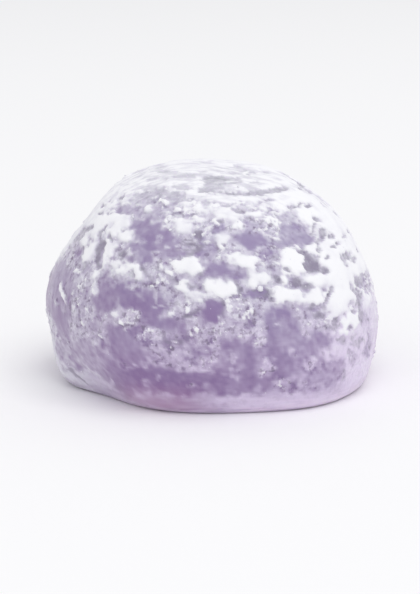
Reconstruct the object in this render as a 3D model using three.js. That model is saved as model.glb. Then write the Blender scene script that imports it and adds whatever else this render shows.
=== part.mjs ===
// A mochi rice cake: a ball of soft pounded rice dough that has slumped into a dome
// on a flat foot, with dry starch clinging to it in low, uneven patches.
//
// Millimetres, +Z up. The cake stands on z = 0, the origin is under the middle of
// its bounding box, and its front faces -Y.
//
// Every point of the surface is found along a ray from the heart, the middle of the
// widest ring. A ray is named by its turn, in degrees round the cake from the front
// towards +X, and its fall, in degrees down from the crown.

import * as THREE from "three";
import { mergeVertices } from "three/addons/utils/BufferGeometryUtils.js";

// ---------------------------------------------------------------- driving sizes
const WIDTH = 50; // across the widest ring
const HEIGHT = 32.5; // from the foot to the crown
const WAIST_HEIGHT = 10.2; // of the widest ring above the foot
const BELLY_DEPTH = 20; // how far the belly would reach down if nothing held it up
const FOOT_ROUNDING = 1.5; // how softly the belly turns into the flat foot
const CROWN_LEAN = -2.6; // how far the crown has slumped sideways, along X
const MESH_DETAIL = 20; // how often each edge of the starting icosahedron is cut

// Powers of the two half profiles: 2 is an ellipse, and more is squarer.
const CROWN_POWER = 2.0;
const CROWN_POWER_SWING = 0.15; // squarer on the +X shoulder, leaner on the -X one
const BELLY_POWER = 2.2;

// Where the dough bulges and sags by hand, as turn, fall and spread in degrees and
// rise in millimetres.
const SLUMPS = [
  { turn: -117, fall: 30, spread: 20, rise: 0.7 }, // left of the crown, fuller
  { turn: -100, fall: 52, spread: 14, rise: -0.7 }, // left shoulder, flatter
  { turn: 112, fall: 32, spread: 16, rise: 0.7 }, // right of the crown, fuller
  { turn: 96, fall: 66, spread: 18, rise: -1.1 }, // right flank, flatter
  { turn: 84, fall: 100, spread: 14, rise: -0.5 }, // low on the right, tucked under
  { turn: -50, fall: 112, spread: 14, rise: -1.7 }, // front left of the foot, tucked under
  { turn: -74, fall: 109, spread: 10, rise: 0.8 }, // left of the foot, spread out
  { turn: 0, fall: 112, spread: 20, rise: -0.6 }, // front of the foot, tucked under
  { turn: 40, fall: 112, spread: 16, rise: 0.9 }, // front right of the foot, spread out
  { turn: 168, fall: 66, spread: 24, rise: 0.5 }, // back, fuller
  { turn: -145, fall: 84, spread: 20, rise: -0.6 }, // back left flank, pressed in
  { turn: 150, fall: 110, spread: 18, rise: 0.6 }, // back of the foot, spread out
];

// Creases in the dough, each from one turn to another about one fall. The crease
// starts its drift, in degrees, above that fall and ends it below.
const CREASES = [
  { from: 12, to: 52, fall: 31, drift: 3, width: 1.0, depth: 0.3 }, // right of the crown
  { from: -28, to: 34, fall: 19, drift: -3, width: 0.9, depth: 0.25 }, // front of the crown
  { from: -64, to: -44, fall: 106, drift: 3, width: 1.4, depth: 0.3 }, // left of the foot
  { from: 100, to: 168, fall: 104, drift: 3, width: 1.2, depth: 0.35 }, // back of the foot
];

// The thickest starch on the front, as turn and fall in degrees and wide, tall and
// thick in millimetres.
const STARCH_PATCHES = [
  { turn: -44, fall: 50, wide: 6.5, tall: 5.0, thick: 0.4 },
  { turn: -41, fall: 61, wide: 3.5, tall: 5.0, thick: 0.35 },
  { turn: -10, fall: 63.5, wide: 6.5, tall: 3.4, thick: 0.45 },
  { turn: -8, fall: 42, wide: 6.5, tall: 4.0, thick: 0.3 },
  { turn: 16, fall: 61, wide: 5.2, tall: 2.8, thick: 0.4 },
  { turn: 34, fall: 63, wide: 3.8, tall: 4.6, thick: 0.5 },
  { turn: 19, fall: 68, wide: 4.6, tall: 2.4, thick: 0.45 },
  { turn: 1, fall: 71, wide: 6.5, tall: 2.8, thick: 0.5 },
  { turn: 57, fall: 48, wide: 6.0, tall: 3.4, thick: 0.5 },
  { turn: 46, fall: 41, wide: 6.0, tall: 4.0, thick: 0.4 },
  { turn: 50, fall: 72, wide: 8.0, tall: 7.0, thick: 0.45 },
  { turn: 34, fall: 75, wide: 6.0, tall: 3.4, thick: 0.4 },
  { turn: -32, fall: 82, wide: 3.6, tall: 2.2, thick: 0.3 },
];


// Round the back the patches wind down in one band, each a golden step on from the last.
const BACK_PATCHES = 14;
const BACK_FALLS = [34, 88]; // the highest and the lowest of them
const BACK_TURNS = [75, 285]; // the band runs from the right flank to the left one
const BACK_SIZES = [4.5, 8.5]; // of the smallest and the largest, across
const BACK_THICKS = [0.25, 0.45];
const BACK_SQUATNESS = 0.7; // of a patch, its height against its width

const PATCH_EDGE = 0.35; // the share of a patch's radius over which it thins out
const PATCH_WANDER = 0.28; // how far a patch's edge strays, as a share of its radius
const WANDER_LENGTH = 4.5; // of the waves that make it stray
const NO_STARCH_BELOW = 0.6; // height where the patches have thinned out to nothing,
const FULL_STARCH_ABOVE = 3.5; // and the height from which they keep their thickness

// Soft unevenness all over, as the length and height of its waves.
const DENTS = [
  { length: 24, height: 0.22 },
  { length: 11, height: 0.1 },
];
const WAVES_EACH = 24;
const WAVE_SPREAD = [0.75, 1.25]; // the shortest and the longest, as shares of that length

// Steps that spread things evenly however many there are: the golden angle round a
// circle, and three irrational shares of a whole.
const GOLDEN_ANGLE = Math.PI * (3 - Math.sqrt(5));
const GOLDEN_SHARE = (Math.sqrt(5) - 1) / 2;
const SECOND_SHARE = Math.sqrt(0.57);
const THIRD_SHARE = Math.sqrt(0.11);

// ---------------------------------------------------------------- helpers
const radians = THREE.MathUtils.degToRad;
const degrees = THREE.MathUtils.radToDeg;
const smooth = THREE.MathUtils.smoothstep;
const fraction = (x) => x - Math.floor(x);
const between = ([low, high], part) => low + (high - low) * part;

// The unit direction of a ray, from its turn and fall.
function ray({ turn, fall }) {
  const level = Math.sin(radians(fall));
  return new THREE.Vector3(
    level * Math.sin(radians(turn)),
    -level * Math.cos(radians(turn)),
    Math.cos(radians(fall)),
  );
}

// A smooth random-looking field of about unit strength: plane waves of about one
// length, whose headings are spread over the sphere by the golden angle.
function waves(point, length, seed) {
  const heading = new THREE.Vector3();
  let sum = 0;
  for (let i = 0; i < WAVES_EACH; i++) {
    const up = 1 - (2 * (i + 0.5)) / WAVES_EACH;
    const round = GOLDEN_ANGLE * i + seed;
    const level = Math.sqrt(1 - up * up);
    heading.set(level * Math.cos(round), level * Math.sin(round), up);
    const step = length * between(WAVE_SPREAD, fraction(GOLDEN_SHARE * i));
    const phase = fraction(SECOND_SHARE * i + THIRD_SHARE * seed);
    sum += Math.sin(2 * Math.PI * (point.dot(heading) / step + phase));
  }
  return sum * Math.sqrt(2 / WAVES_EACH);
}

// ---------------------------------------------------------------- the form
// From the heart to the skin along a unit direction: two superellipses that meet at
// the waist, a tall one above it and a shallow one below.
function evenReach(direction) {
  const level = Math.hypot(direction.x, direction.y);
  const side = level > 0 ? direction.x / level : 0;
  const above = direction.z >= 0;
  const power = above ? CROWN_POWER + CROWN_POWER_SWING * side : BELLY_POWER;
  const depth = above ? HEIGHT - WAIST_HEIGHT : BELLY_DEPTH;
  const sum =
    (level / (WIDTH / 2)) ** power + (Math.abs(direction.z) / depth) ** power;
  return sum ** (-1 / power);
}

// A soft hump or hollow round one ray.
function slump(direction, place) {
  const angle = degrees(direction.angleTo(ray(place)));
  return place.rise * Math.exp(-((angle / place.spread) ** 2));
}

// Degrees from one turn to another, the short way round.
const turnBetween = (a, b) => ((((b - a + 180) % 360) + 360) % 360) - 180;

// A groove along a crease, deepest in the middle of its run and gone at both ends.
function crease(turn, fall, reach, fold) {
  const half = (fold.to - fold.from) / 2;
  const along = turnBetween(fold.from + half, turn) / half;
  if (Math.abs(along) >= 1) return 0;
  const off = radians(fall - fold.fall - fold.drift * along) * reach;
  return (
    -fold.depth *
    (1 - along * along) *
    Math.exp(-((off / (fold.width / 2)) ** 2))
  );
}

// One starch patch: an ellipse with a wandering edge, level inside and thin outside.
function starchPatch(turn, fall, reach, wander, patch) {
  const across =
    radians(turnBetween(patch.turn, turn)) *
    Math.sin(radians(patch.fall)) *
    reach;
  const down = radians(fall - patch.fall) * reach;
  const off = Math.hypot(across / (patch.wide / 2), down / (patch.tall / 2));
  const edge = 1 + PATCH_WANDER * wander;
  return (
    patch.thick *
    (1 - smooth(off, edge * (1 - PATCH_EDGE), edge * (1 + PATCH_EDGE)))
  );
}

// The patches of the back, spread by golden ratios so that none line up.
function backPatches() {
  return Array.from({ length: BACK_PATCHES }, (_, i) => {
    const wide = between(BACK_SIZES, fraction(THIRD_SHARE * i));
    return {
      turn: between(BACK_TURNS, fraction(GOLDEN_SHARE * i)),
      fall: between(BACK_FALLS, (i + 0.5) / BACK_PATCHES),
      wide,
      tall: BACK_SQUATNESS * wide,
      thick: between(BACK_THICKS, fraction(SECOND_SHARE * i)),
    };
  });
}

const patches = [...STARCH_PATCHES, ...backPatches()];

// Height of a point above the foot, with everything below the foot pressed flat
// into it and a rounded turn between the two.
function pressed(z) {
  if (z >= FOOT_ROUNDING) return z;
  if (z <= -FOOT_ROUNDING) return 0;
  return (z + FOOT_ROUNDING) ** 2 / (4 * FOOT_ROUNDING);
}

// The point of the surface along a unit direction from the heart.
function surfacePoint(direction) {
  const turn = degrees(Math.atan2(direction.x, -direction.y));
  const fall = degrees(Math.acos(direction.z));
  const even = evenReach(direction);
  const spot = direction.clone().multiplyScalar(even);

  let uneven = 0;
  for (const place of SLUMPS) uneven += slump(direction, place);
  DENTS.forEach((dent, i) => {
    uneven += dent.height * waves(spot, dent.length, i + 1);
  });
  for (const fold of CREASES) uneven += crease(turn, fall, even, fold);

  // Where two patches meet, the thicker one counts.
  const wander = waves(spot, WANDER_LENGTH, 7);
  const thick = patches.map((patch) =>
    starchPatch(turn, fall, even, wander, patch),
  );
  const height = WAIST_HEIGHT + spot.z;
  uneven +=
    Math.max(...thick) * smooth(height, NO_STARCH_BELOW, FULL_STARCH_ABOVE);

  const point = direction.clone().multiplyScalar(even + uneven);
  point.z = pressed(WAIST_HEIGHT + point.z);
  point.x += CROWN_LEAN * (point.z / HEIGHT);
  return point;
}

// ---------------------------------------------------------------- the cake
// An icosahedron cut into even triangles, each corner moved out along its own ray.
function cakeGeometry() {
  const cut = new THREE.IcosahedronGeometry(1, MESH_DETAIL);
  cut.deleteAttribute("normal");
  cut.deleteAttribute("uv");
  const geometry = mergeVertices(cut, 1e-5);

  const corners = geometry.getAttribute("position");
  const direction = new THREE.Vector3();
  for (let i = 0; i < corners.count; i++) {
    direction.fromBufferAttribute(corners, i).normalize();
    const point = surfacePoint(direction);
    corners.setXYZ(i, point.x, point.y, point.z);
  }

  // The origin goes under the middle of the bounding box, on the foot.
  geometry.computeBoundingBox();
  const { min, max } = geometry.boundingBox;
  geometry.translate(-(min.x + max.x) / 2, -(min.y + max.y) / 2, -min.z);
  geometry.computeVertexNormals();
  return geometry;
}

const dustedSkin = new THREE.MeshStandardMaterial({
  color: new THREE.Color(0.72, 0.67, 0.79),
  roughness: 0.75,
  metalness: 0,
});

const mochi = new THREE.Mesh(cakeGeometry(), dustedSkin);
mochi.name = "mochi";

const cake = new THREE.Group();
cake.add(mochi);

export default cake;
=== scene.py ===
# %% [markdown]
# # A mochi rice cake under its starch
#
# A mochi is a ball of soft, slightly see-through rice dough. It is too sticky to
# touch, so it is rolled in dry starch, and the starch clings unevenly: packed white
# on the crown, in clumps on the shoulders, and as a thin dry film low on the flanks
# where the lavender dough shows.
#
# The packed CAD model comes first, because it fixes the size and the place of
# everything else. All lengths are metres, written as so many millimetres.

# %% Load the fixed frame
import math

import bpy
import numpy as np
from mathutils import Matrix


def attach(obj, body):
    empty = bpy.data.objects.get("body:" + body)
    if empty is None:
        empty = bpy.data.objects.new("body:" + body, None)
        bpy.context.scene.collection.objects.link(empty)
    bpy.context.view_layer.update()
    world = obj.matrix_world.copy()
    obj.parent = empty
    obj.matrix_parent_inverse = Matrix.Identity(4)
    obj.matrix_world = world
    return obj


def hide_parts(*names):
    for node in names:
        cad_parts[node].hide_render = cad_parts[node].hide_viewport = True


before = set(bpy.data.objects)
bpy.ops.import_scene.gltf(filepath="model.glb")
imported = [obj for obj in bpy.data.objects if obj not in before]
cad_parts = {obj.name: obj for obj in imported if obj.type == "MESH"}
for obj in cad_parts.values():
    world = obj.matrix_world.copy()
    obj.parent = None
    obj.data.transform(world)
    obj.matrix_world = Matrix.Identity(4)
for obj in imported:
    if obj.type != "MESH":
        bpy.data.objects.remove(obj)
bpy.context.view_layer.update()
MM = 0.001
print("CAD nodes:", sorted(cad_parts))

# %% [markdown]
# ## The camera and the light
#
# A small thing seen from a little above looks natural through a long lens, because
# a short lens close by would swell its front. The light is the soft kind that food
# is shown in: a bright, even surround, a pale floor that throws light back up under
# the cake, and one large panel above and to the right that gives the form its shape.
# The panel hangs far off, because a near one would leave the floor behind in the dark.

# %% Camera
SHOT_PIXELS_HIGH = 594
PIXELS_PER_MM = 6.5966  # at the aim point
CAMERA_DISTANCE = 300 * MM
CAMERA_ELEVATION = math.radians(13)
CAMERA_AIM = (-0.34 * MM, 0, 12.15 * MM)
SENSOR = 36  # Blender's own default, in its own millimetres


def aimed_camera(aim, distance, elevation):
    """A camera that looks along +Y and down by its elevation, straight at the aim."""
    data = bpy.data.cameras.new("camera")
    data.sensor_width = SENSOR
    data.lens = PIXELS_PER_MM * distance / MM * SENSOR / SHOT_PIXELS_HIGH
    camera = bpy.data.objects.new("camera", data)
    camera.rotation_euler = (math.pi / 2 - elevation, 0, 0)
    camera.location = (
        aim[0],
        aim[1] - distance * math.cos(elevation),
        aim[2] + distance * math.sin(elevation),
    )
    bpy.context.scene.collection.objects.link(camera)
    return camera


bpy.context.scene.camera = aimed_camera(CAMERA_AIM, CAMERA_DISTANCE, CAMERA_ELEVATION)
print("lens:", round(bpy.context.scene.camera.data.lens, 1))

# %% Surround, panel and floor
SURROUND_STRENGTH = 0.71
SURROUND_COLOUR = (0.985, 0.985, 1.0, 1)
PANEL_WATTS = 13.4
PANEL_SIZE = 1.6
PANEL_PLACE = (0.44, -0.56, 1.76)
FLOOR_SIZE = 6.0
FLOOR_COLOUR = (0.98, 0.98, 0.985, 1)


def soft_surround():
    """The same pale light from every side."""
    world = bpy.data.worlds.new("surround")
    world.use_nodes = True
    background = world.node_tree.nodes["Background"]
    background.inputs["Color"].default_value = SURROUND_COLOUR
    background.inputs["Strength"].default_value = SURROUND_STRENGTH
    bpy.context.scene.world = world


def soft_panel(place, size, watts):
    """A square lamp that faces the middle of the cake."""
    data = bpy.data.lights.new("panel", "AREA")
    data.size = size
    data.energy = watts
    lamp = bpy.data.objects.new("panel", data)
    lamp.location = place
    x, y, z = place
    lamp.rotation_euler = (math.atan2(math.hypot(x, y), z), 0, math.atan2(x, -y))
    bpy.context.scene.collection.objects.link(lamp)


def pale_floor(size, colour):
    """One square on z = 0, which isn't part of the cake."""
    half = size / 2
    mesh = bpy.data.meshes.new("floor")
    corners = [(-half, -half, 0), (half, -half, 0), (half, half, 0), (-half, half, 0)]
    mesh.from_pydata(corners, [], [(0, 1, 2, 3)])
    material = bpy.data.materials.new("floor")
    material.use_nodes = True
    shader = material.node_tree.nodes["Principled BSDF"]
    shader.inputs["Base Color"].default_value = colour
    shader.inputs["Roughness"].default_value = 1.0
    shader.inputs["Specular IOR Level"].default_value = 0.0
    mesh.materials.append(material)
    floor = bpy.data.objects.new("floor", mesh)
    bpy.context.scene.collection.objects.link(floor)


soft_surround()
soft_panel(PANEL_PLACE, PANEL_SIZE, PANEL_WATTS)
pale_floor(FLOOR_SIZE, FLOOR_COLOUR)
bpy.context.scene.view_settings.view_transform = "Standard"
print("lit from", PANEL_PLACE)

# %% [markdown]
# ## Naming a place on the cake
#
# A ball of dough has no corners to measure from. Every point is found along a ray
# from the heart, the middle of the widest ring. A ray has a turn, in degrees round
# the cake from the front towards +X, and a fall, in degrees down from the crown.
# With this, the whole skin is one number for each ray: how far it reaches.

# %% Rays and their two names
def smooth(value, low, high):
    """0 below low, 1 above high, and an S-shaped rise between."""
    part = np.clip((value - low) / (high - low), 0, 1)
    return part * part * (3 - 2 * part)


def rays(turn, fall):
    """Unit vectors: sin(fall) round the cake and cos(fall) up."""
    turn, fall = np.broadcast_arrays(np.radians(turn), np.radians(fall))
    level = np.sin(fall)
    return np.stack([level * np.sin(turn), -level * np.cos(turn), np.cos(fall)], -1)


def turn_of(ray):
    """Degrees round the cake from the front, from -180 to 180."""
    return np.degrees(np.arctan2(ray[..., 0], -ray[..., 1]))


def fall_of(ray):
    """Degrees down from the crown, from 0 to 180."""
    return np.degrees(np.arccos(np.clip(ray[..., 2], -1, 1)))


def turned_by(turn, start):
    """Degrees from one turn to another, the short way round."""
    return (turn - start + 180) % 360 - 180


print("the ray to the right flank:", rays(90, 90).round(3))

# %% [markdown]
# ## Roughness that comes out the same every time
#
# Hand-made things are uneven at every scale. Adding up many plane waves of about one
# length, with their headings spread over the sphere by the golden angle, gives a
# smooth field with no direction and no seam. Sums of such fields make dents, clumps
# and crumbs. Squeezing space along one axis first turns spots into brush strokes.

# %% Waves
GOLDEN_ANGLE = math.pi * (3 - math.sqrt(5))
GOLDEN_SHARE = (math.sqrt(5) - 1) / 2
PHASE_SHARES = (math.sqrt(0.57), math.sqrt(0.11))  # so that no two waves start alike
WAVES_EACH = 24
WAVE_SPREAD = (0.75, 1.25)  # shortest and longest, as shares of the length


def waves(points, length, seed):
    """The sum of sines of each point's distance along each heading, over its step."""
    total = np.zeros(points.shape[:-1])
    for i in range(WAVES_EACH):
        up = 1 - 2 * (i + 0.5) / WAVES_EACH
        level = math.sqrt(1 - up * up)
        around = GOLDEN_ANGLE * i + seed
        heading = (level * math.cos(around), level * math.sin(around), up)
        step = length * (WAVE_SPREAD[0] + np.ptp(WAVE_SPREAD) * (GOLDEN_SHARE * i % 1))
        phase = (PHASE_SHARES[0] * i + PHASE_SHARES[1] * seed) % 1
        total += np.sin(2 * math.pi * (points @ np.array(heading) / step + phase))
    return total * math.sqrt(2 / WAVES_EACH)


def layered(points, seed, *layers):
    """Several lengths of waves on top of each other, each with its own height."""
    return sum(
        height * waves(points, length * MM, seed + i)
        for i, (length, height) in enumerate(layers)
    )


line = waves(np.linspace(0, 1, 200)[:, None] * (1, 0, 0), 0.1, 1)
print("waves along a line, from", line.min().round(1), "to", line.max().round(1))

# %% [markdown]
# ## The dough
#
# A ball that slumps under its own weight keeps a round crown and grows a wide belly.
# Two superellipses that meet at the widest ring say this with five sizes. Below the
# ring the belly would reach further down than the table allows, so whatever falls
# under the table is pressed flat into the foot, with a rounded turn. Humps, hollows
# and creases go on top. All of them are those of the CAD solid, so that both have one
# form.

# %% The sizes of the dough
WIDTH = 50 * MM
HEIGHT = 32.5 * MM
WAIST_HEIGHT = 10.2 * MM
BELLY_DEPTH = 20 * MM
FOOT_ROUNDING = 1.5 * MM
CROWN_LEAN = -2.6 * MM  # how far the crown has moved along x
CROWN_POWER = 2.0
CROWN_POWER_SWING = 0.15  # added towards +X, taken away towards -X
BELLY_POWER = 2.2

# turn, fall and spread in degrees, and rise in millimetres
SLUMPS = [
    (-117, 30, 20, 0.7),
    (-100, 52, 14, -0.7),
    (112, 32, 16, 0.7),
    (96, 66, 18, -1.1),
    (84, 100, 14, -0.5),
    (-50, 112, 14, -1.7),
    (-74, 109, 10, 0.8),
    (0, 112, 20, -0.6),
    (40, 112, 16, 0.9),
    (168, 66, 24, 0.5),
    (-145, 84, 20, -0.6),
    (150, 110, 18, 0.6),
]

# from turn, to turn, fall and drift in degrees, width and depth in millimetres
CREASES = [
    (12, 52, 31, 3, 1.0, 0.3),
    (-28, 34, 19, -3, 0.9, 0.25),
    (-64, -44, 106, 3, 1.4, 0.3),
    (100, 168, 104, 3, 1.2, 0.35),
]
DENTS = ((24, 0.22), (11, 0.1))  # length and height in millimetres
DENT_SEED = 1
print("slumps:", len(SLUMPS), "creases:", len(CREASES))

# %% The reach of the even form
def even_reach(ray):
    """(level / half width)^p + (height / depth)^p = 1, solved along the ray."""
    level = np.hypot(ray[..., 0], ray[..., 1])
    side = ray[..., 0] / np.maximum(level, 1e-9)
    above = ray[..., 2] >= 0
    power = np.where(above, CROWN_POWER + CROWN_POWER_SWING * side, BELLY_POWER)
    depth = np.where(above, HEIGHT - WAIST_HEIGHT, BELLY_DEPTH)
    total = (level / (WIDTH / 2)) ** power + (np.abs(ray[..., 2]) / depth) ** power
    return total ** (-1 / power)


print("even reach to the front in mm:", (even_reach(rays(0, 90)) / MM).round(2))

# %% Slumps, dents and creases
def slumped(ray):
    """Humps and hollows: rise times a bell curve of the angle from their own ray."""
    total = np.zeros(ray.shape[:-1])
    for turn, fall, spread, rise in SLUMPS:
        angle = np.degrees(np.arccos(np.clip(ray @ rays(turn, fall), -1, 1)))
        total += rise * MM * np.exp(-((angle / spread) ** 2))
    return total


def creased(ray, reach):
    """Grooves: depth times a parabola along the crease times a bell curve across."""
    turn, fall = turn_of(ray), fall_of(ray)
    total = np.zeros(ray.shape[:-1])
    for start, stop, level, drift, width, depth in CREASES:
        middle, half = (start + stop) / 2, (stop - start) / 2
        along = turned_by(turn, middle) / half
        off = np.radians(fall - level - drift * along) * reach
        run = np.clip(1 - along**2, 0, None)
        total -= depth * MM * run * np.exp(-((off / (width * MM / 2)) ** 2))
    return total


def dough_reach(ray):
    """The even form with its slumps, soft dents and creases."""
    even = even_reach(ray)
    dents = layered(ray * even[..., None], DENT_SEED, *DENTS) * MM
    return even + slumped(ray) + dents + creased(ray, even)


print("reach to the front with slumps in mm:", (dough_reach(rays(0, 90)) / MM).round(2))

# %% From a reach to a place
def pressed(z):
    """The floor lets nothing through: flat below it, with a rounded turn into it."""
    turning = (z + FOOT_ROUNDING) ** 2 / (4 * FOOT_ROUNDING)
    return np.where(z >= FOOT_ROUNDING, z, np.where(z <= -FOOT_ROUNDING, 0, turning))


def placed(ray, reach):
    """Ray times reach above the heart, pressed on the floor, and leaning sideways."""
    point = ray * reach[..., None]
    point[..., 2] = pressed(WAIST_HEIGHT + point[..., 2])
    point[..., 0] += CROWN_LEAN * point[..., 2] / HEIGHT
    return point - HEART_SHIFT


HEART_SHIFT = np.zeros(3)  # nothing yet, while the dough is measured
sample = rays(*np.meshgrid(np.arange(0, 360, 1.0), np.arange(1, 180, 1.0)))
sample = placed(sample, dough_reach(sample)).reshape(-1, 3)
middle = (sample.min(0) + sample.max(0)) / 2
HEART_SHIFT = np.array([middle[0], middle[1], 0])  # puts the box's middle on x = y = 0
print("dough in mm:", (np.ptp(sample, axis=0) / MM).round(2))

# %% [markdown]
# ## Where the starch clings
#
# Noise alone gives starch that looks printed. Real starch has a history: a thumb has
# wiped a window here, a clump has stuck there, and the crown lay in the tray. So the
# front is painted in dabs, as a stylist would do it with a brush. Each dab is an
# ellipse on the skin with a load, from 0 for bare dough to about 1 for packed starch.
# Grounds lay in the large areas, hazes are thin and even, windows are wiped bare, and
# clumps are what has stuck. Touches and strokes are the small marks on top of them.
# Later dabs cover earlier ones, and noise comes last.

# %% Grounds and hazes
# middle turn and fall, width in turns and height in falls, all in degrees, and load
GROUNDS = [
    # the shoulders and the crown's front, dusted nearly white
    (-72, 42, 60, 34, 0.93), (70, 55, 64, 62, 1.0), (0, 36, 60, 16, 0.84),
    # the brow between the shoulders
    (-16, 43, 18, 5, 0.7), (12, 41, 30, 9, 0.86),
    # the left flank, thinly veiled
    (-72, 80, 34, 36, 0.26), (-50, 83, 18, 20, 0.5), (-60, 98, 34, 9, 0.52),
    (-54, 108, 26, 8, 0.68), (-40, 102, 16, 16, 0.14),
    # the belly: a mottled middle and a deep bare band low down
    (-38, 87, 12, 14, 0.36), (-11, 90, 27, 15, 0.4), (-29, 91, 14, 13, 0.14),
    (9, 79, 16, 14, 0.56), (18, 94, 34, 16, 0.2), (-16, 102, 38, 10, 0.06),
    (6, 103, 22, 10, 0.16), (46, 84, 16, 12, 0.98),
    # the right flank, whiter again, and the pale band along the foot, both loaded
    # whiter in part as painted light against the shade near the table
    (54, 92, 24, 22, 0.76), (62, 104, 40, 12, 0.76), (84, 92, 24, 30, 0.76),
    (79, 77, 22, 7, 0.6), (24, 110, 70, 7, 0.72), (-18, 111, 40, 5, 0.2),
    # the left rim, whiter in part as a painted sheen, and as painted light near the
    # table
    (-84, 60, 20, 30, 0.9), (-75, 94, 14, 13, 0.8), (-68, 103, 26, 8, 0.8),
    (-88, 99, 14, 24, 0.84), (-78, 69, 12, 9, 0.5), (-64, 107, 20, 8, 0.74),
    (-77, 104, 12, 15, 1.0),
]
HAZES = [
    # smooth thin veils: on the crown, on the brow, and low on the right, where they are
    # heavy in part as painted light against the shade near the table
    (10, 24, 22, 9, 0.58), (-33, 33.2, 30, 8.6, 0.5), (-18, 33, 18, 7, 0.52),
    (-44, 36.6, 18, 3, 0.66), (-26, 38, 24, 8, 0.5), (-44, 41.4, 24, 5, 0.34),
    (-28, 42, 18, 5, 0.36), (-74, 74, 22, 12, 0.24), (43, 52.2, 17, 9.4, 0.24),
    (56, 95, 20, 18, 0.95), (41, 100, 15.5, 11, 0.3), (77, 91, 18, 20, 0.9),
    (62, 104, 30, 9, 1.0), (-49, 97, 20, 14, 0.26), (45, 46.8, 22, 5, 0.56),
    (-66, 100, 14, 8, 0.42),
]
print("grounds:", len(GROUNDS), "hazes:", len(HAZES))

# %% Windows
WINDOWS = [
    # bare dough on the brow, left and right
    (-30.5, 47.2, 12, 7, 0.16), (-27, 49.6, 13, 8, 0.12), (-22, 52.8, 15, 11, 0.08),
    (-20.4, 54, 13, 8, 0.02), (-25, 59, 8, 5, 0.12), (-30, 56.6, 5, 4, 0.12),
    (-30, 60.8, 7, 3, 0.2), (-29, 75, 8, 6, 0.04), (-15, 55, 10, 7, 0.1),
    (-14, 57.8, 11, 3, 0.16), (20.5, 53.4, 15, 7.6, 0.1), (20.5, 54, 10, 5, 0.0),
    (22, 48, 7, 4.6, 0.34), (26.5, 58.2, 9, 3, 0.36), (33, 55.6, 12, 4.4, 0.2),
    (31, 48, 10, 4, 0.72), (46, 56.2, 18, 3.4, 0.16), (2, 54.6, 5, 8, 0.14),
    (6.2, 47.8, 6, 4.4, 0.24), (12, 55, 4, 4, 0.3),
    # between the clumps of the middle
    (5, 63.3, 12, 5, 0.05), (0, 61, 4, 4, 0.2), (11.5, 66, 7.5, 6, 0.08),
    (17.4, 72, 8, 4, 0.04), (0, 58, 7, 3, 0.26), (-1, 64.8, 8, 2.6, 0.1),
    (1, 77, 7, 9.6, 0.0), (24.5, 79.2, 8, 5, 0.02), (20.4, 85, 4, 15, 0.06),
    (26, 84.4, 8, 9, 0.18), (37, 89, 13, 5.4, 0.18), (7, 88, 6, 5, 0.12),
    (11.5, 97, 4, 17, 0.08),
    # the left: streaks on the shoulder, purple under them
    (-66, 64.5, 18, 8, 0.4), (-41, 69.5, 5, 7, 0.22), (-31, 71.5, 15, 5.5, 0.05),
    (-38, 76, 12, 10, 0.12), (-21, 76, 14, 8, 0.05), (-65, 87, 14, 7, 0.12),
    (-57.5, 79, 4, 6, 0.24), (-58, 86, 4, 6, 0.2), (-28, 84.6, 16, 2.4, 0.1),
    (-16, 81.4, 18, 4.6, 0.08),
    # low down
    (-20, 100, 20, 7, 0.02), (-3, 99.3, 14, 4, 0.06), (2.3, 102, 6, 9, 0.04),
    (21, 99.5, 6, 4, 0.04), (23.5, 94.6, 6, 6, 0.1), (17, 102.6, 6, 4, 0.12),
    (-60, 104, 8, 4, 0.18), (65, 98, 9, 5, 0.36), (-35, 105, 10, 11, 0.06),
]
print("windows:", len(WINDOWS))

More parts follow.
